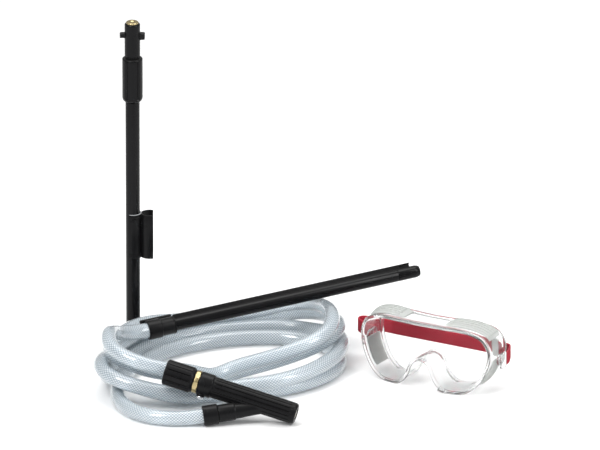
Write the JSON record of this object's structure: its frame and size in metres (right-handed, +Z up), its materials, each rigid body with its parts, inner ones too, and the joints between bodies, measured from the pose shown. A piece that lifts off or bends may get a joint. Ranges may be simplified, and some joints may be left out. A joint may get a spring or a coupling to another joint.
{
  "type": "pressure washer wet blasting set",
  "caption": "Pressure-washer wet blasting set: lance pole with bayonet end and hose clip, Y-shaped blasting head, suction lance, coiled suction hose and safety goggles.",
  "frame": {"origin": "on the ground, under the middle of the box round the rigid pieces (pole, head, suction lance and goggles)", "axes": "+Z up along the standing pole, +X to the right along the row from pole to goggles, +Y away from the viewer"},
  "size_m": [0.4665, 0.3332, 0.377],
  "materials": {
    "black_plastic": "satin moulded black plastic",
    "black_rubber": "matt black rubber",
    "brass": "turned brass",
    "steel": "bright zinc-plated steel",
    "ceramic": "fired ceramic",
    "hose_clear": "clear PVC with woven polyester braid",
    "goggle_clear": "clear soft PVC and polycarbonate",
    "strap_red": "woven elastic webbing"
  },
  "bodies": {
    "hose_and_head": {"suction_hose_coil": "hose_clear", "suction_hose_head_run": "hose_clear", "suction_hose_lance_run": "hose_clear", "inlet_nipple": "brass", "nipple_seal": "black_rubber", "head_body": "black_plastic", "jet_nozzle": "brass", "mixing_tube": "ceramic", "housing_screw": "steel", "branch_ring": "black_plastic", "branch_barb": "brass"},
    "nut": {"union_nut": "black_plastic"},
    "lance_pole": {"pole_tube": "black_plastic", "pressure_pipe": "steel", "grip_collar": "black_plastic", "bayonet_spigot": "black_plastic", "inlet_insert": "brass", "inlet_seal": "black_rubber", "outlet_nipple": "brass"},
    "clip": {"hose_clip": "black_plastic"},
    "suction_lance": {"suction_tube": "black_plastic", "suction_tip": "black_plastic", "air_channel": "black_plastic", "air_tube": "black_plastic", "lance_socket": "black_plastic", "socket_band": "black_plastic", "lance_barb": "brass"},
    "goggles": {"goggle_frame": "goggle_clear", "goggle_lens": "goggle_clear", "vent_upper_right": "goggle_clear", "vent_upper_left": "goggle_clear", "vent_lower_right": "goggle_clear", "vent_lower_left": "goggle_clear"},
    "headband": {"strap": "strap_red", "strap_clip_left": "goggle_clear", "strap_clip_right": "goggle_clear", "strap_buckle": "goggle_clear"}
  },
  "joints": [
    {"name": "nut_spin", "type": "hinge", "parent": "hose_and_head", "child": "nut", "pos_m": [-0.1669, -0.10826, 0.0507], "axis": [0.9451, -0.214, -0.2469], "continuous": true},
    {"name": "pole_lift", "type": "slide", "parent": "hose_and_head", "child": "lance_pole", "axis": [0, 0, 1], "range_m": [0, 0.08]},
    {"name": "clip_turn", "type": "hinge", "parent": "lance_pole", "child": "clip", "pos_m": [-0.2046, 0.13324, 0.1218], "axis": [0, 0, 1], "range_deg": [-90, 90]},
    {"name": "lance_lift", "type": "hinge", "parent": "hose_and_head", "child": "suction_lance", "pos_m": [-0.18899, 0.03451, 0.05486], "axis": [0.3472, -0.9378, 0], "range_deg": [0, 10]},
    {"name": "goggles_lift", "type": "slide", "parent": "hose_and_head", "child": "goggles", "axis": [0, 0, 1], "range_m": [0, 0.06]},
    {"name": "strap_swing", "type": "hinge", "parent": "goggles", "child": "headband", "pos_m": [0.13425, -0.00005, 0.038], "axis": [0.8788, -0.4772, 0], "range_deg": [-15, 15]}
  ]
}
